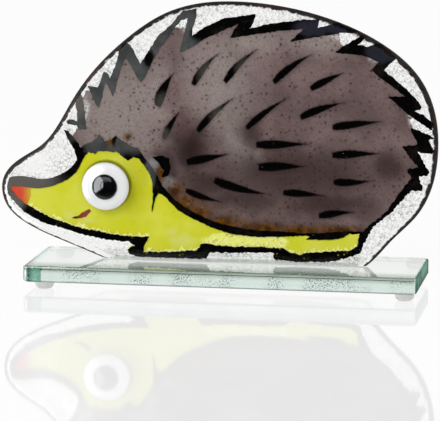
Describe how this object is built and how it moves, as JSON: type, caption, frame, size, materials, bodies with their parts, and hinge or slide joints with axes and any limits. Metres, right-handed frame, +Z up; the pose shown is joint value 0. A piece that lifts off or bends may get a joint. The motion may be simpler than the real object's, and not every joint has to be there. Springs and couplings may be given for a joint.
{
  "type": "hedgehog ornament",
  "caption": "Flat hedgehog ornament of fused coloured glass, standing upright on a clear glass base strip with clear bumper feet.",
  "frame": {"origin": "on the standing surface, under the middle of the ornament's box", "axes": "+Z up, +X from the nose to the tail along the panel, +Y from the drawing's front to its back"},
  "size_m": [0.215, 0.056, 0.139],
  "materials": {
    "float_glass": "clear float glass with polished edges, green seen edge on",
    "clear_glass": "clear fused glass with a wavy surface and trapped bubbles",
    "mauve_glass": "mauve-grey glass powder under clear glass, with dark bubbles",
    "yellow_glass": "lime yellow glass under clear glass",
    "red_glass": "orange-red glass under clear glass",
    "black_glass": "black glass, glossy",
    "white_glass": "opaque white glass, glossy",
    "clear_bumper": "clear soft plastic dome",
    "clear_adhesive": "clear cured adhesive"
  },
  "bodies": {
    "root": {"back_outline_left": "black_glass", "back_outline_right": "black_glass", "back_sheet": "clear_glass", "base_plate": "float_glass", "belly_line": "black_glass", "bond_bead": "clear_adhesive", "brow_tufts": "black_glass", "cheek_stroke": "red_glass", "ear_stroke": "black_glass", "eye_pupil": "black_glass", "eye_white": "white_glass", "face_field": "yellow_glass", "foot_front_left": "clear_bumper", "foot_front_right": "clear_bumper", "foot_rear_left": "clear_bumper", "foot_rear_right": "clear_bumper", "front_sheet": "clear_glass", "lower_outline": "black_glass", "neck_stroke": "black_glass", "nose_patch": "red_glass", "quill_01": "black_glass", "quill_02": "black_glass", "quill_03": "black_glass", "quill_04": "black_glass", "quill_05": "black_glass", "quill_06": "black_glass", "quill_07": "black_glass", "quill_08": "black_glass", "quill_09": "black_glass", "quill_10": "black_glass", "quill_11": "black_glass", "quill_12": "black_glass", "quill_13": "black_glass", "quill_14": "black_glass", "quill_15": "black_glass", "quill_16": "black_glass", "quill_17": "black_glass", "quill_18": "black_glass", "quill_19": "black_glass", "rump_outline": "black_glass", "snout_outline": "black_glass", "spine_field": "mauve_glass", "tail_stroke": "black_glass", "temple_stroke": "black_glass"}
  },
  "joints": []
}
